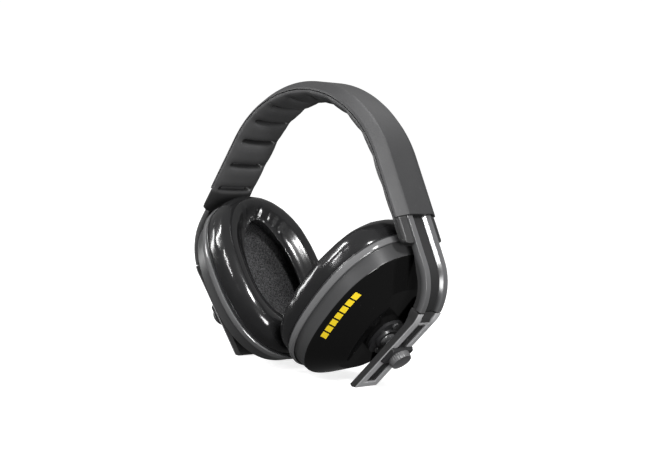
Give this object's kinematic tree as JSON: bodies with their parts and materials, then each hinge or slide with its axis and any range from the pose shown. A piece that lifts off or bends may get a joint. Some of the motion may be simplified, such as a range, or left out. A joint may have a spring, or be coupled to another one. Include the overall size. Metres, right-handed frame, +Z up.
{
  "type": "hearing protection earmuffs",
  "caption": "Over-the-head hearing protection earmuffs: padded spring headband, slotted side bars with sliding knobs, ball-jointed oval cups with sealed ear cushions.",
  "frame": {"origin": "on the ground, midway between the headband's two feet", "axes": "+X towards the wearer's left ear side seen from the front, ear to ear; +Y from the face to the nape; +Z up through the crown"},
  "size_m": [0.192, 0.0788, 0.1707],
  "materials": {
    "band_plastic": "satin black moulded plastic",
    "bar_plastic": "satin dark grey moulded plastic, worn light at the edges",
    "knob_plastic": "satin dark grey moulded plastic",
    "cover_vinyl": "dark grey soft vinyl, fine grain, low sheen",
    "pad_vinyl": "dark grey soft vinyl over foam, low sheen",
    "shell_gloss": "gloss black moulded plastic",
    "rim_gloss": "gloss grey moulded plastic",
    "cushion_vinyl": "gloss black vinyl skin with fine gathers",
    "cushion_foam": "soft open-cell foam",
    "liner_foam": "charcoal open-cell foam",
    "disc_foam": "charcoal open-cell foam with a speckled face",
    "nylon": "black nylon",
    "steel": "blackened steel"
  },
  "bodies": {
    "headband": {"headband": "band_plastic", "left_slot_bar": "bar_plastic", "right_slot_bar": "bar_plastic", "band_cover": "cover_vinyl", "band_cushion": "pad_vinyl"},
    "left_slider": {"left_slot_runner": "band_plastic", "left_slide_knob": "knob_plastic", "left_thrust_washer": "steel"},
    "left_stud": {"left_ball_stud": "steel", "left_stud_clip": "steel"},
    "left_seat": {"left_ball_seat": "nylon"},
    "left_cup": {"left_cup_shell": "shell_gloss", "left_rim_band": "rim_gloss", "left_socket_plate": "band_plastic", "left_plate_screws": "steel", "left_foam_liner": "liner_foam", "left_foam_disc": "disc_foam", "left_cushion_plate": "band_plastic", "left_cushion_foam": "cushion_foam", "left_cushion_skin": "cushion_vinyl"},
    "right_slider": {"right_slot_runner": "band_plastic", "right_slide_knob": "knob_plastic", "right_thrust_washer": "steel"},
    "right_stud": {"right_ball_stud": "steel", "right_stud_clip": "steel"},
    "right_seat": {"right_ball_seat": "nylon"},
    "right_cup": {"right_cup_shell": "shell_gloss", "right_rim_band": "rim_gloss", "right_socket_plate": "band_plastic", "right_plate_screws": "steel", "right_foam_liner": "liner_foam", "right_foam_disc": "disc_foam", "right_cushion_plate": "band_plastic", "right_cushion_foam": "cushion_foam", "right_cushion_skin": "cushion_vinyl"}
  },
  "joints": [
    {"name": "left_height_slide", "type": "slide", "parent": "headband", "child": "left_slider", "axis": [-0.6652, 0, 0.7466], "range_m": [0, 0.012]},
    {"name": "left_stud_spin", "type": "hinge", "parent": "left_slider", "child": "left_stud", "pos_m": [-0.06169, 0, 0.03116], "axis": [0.7466, 0, 0.6652], "range_deg": [-90, 90]},
    {"name": "left_seat_tilt", "type": "hinge", "parent": "left_stud", "child": "left_seat", "pos_m": [-0.06169, 0, 0.03116], "axis": [0, 1, 0], "range_deg": [0, 14.4]},
    {"name": "left_cup_swivel", "type": "hinge", "parent": "left_seat", "child": "left_cup", "pos_m": [-0.06169, 0, 0.03116], "axis": [0.6088, 0, -0.7934], "range_deg": [-8, 8]},
    {"name": "right_height_slide", "type": "slide", "parent": "headband", "child": "right_slider", "axis": [0.6652, 0, 0.7466], "range_m": [0, 0.012]},
    {"name": "right_stud_spin", "type": "hinge", "parent": "right_slider", "child": "right_stud", "pos_m": [0.06169, 0, 0.03116], "axis": [0.7466, 0, -0.6652], "range_deg": [-90, 90]},
    {"name": "right_seat_tilt", "type": "hinge", "parent": "right_stud", "child": "right_seat", "pos_m": [0.06169, 0, 0.03116], "axis": [0, -1, 0], "range_deg": [0, 14.4]},
    {"name": "right_cup_swivel", "type": "hinge", "parent": "right_seat", "child": "right_cup", "pos_m": [0.06169, 0, 0.03116], "axis": [0.6088, 0, 0.7934], "range_deg": [-8, 8]}
  ],
  "couplings": [
    {"joint": "left_seat_tilt", "follows": "left_height_slide", "rad_per_m": 20.944},
    {"joint": "right_seat_tilt", "follows": "right_height_slide", "rad_per_m": 20.944}
  ]
}
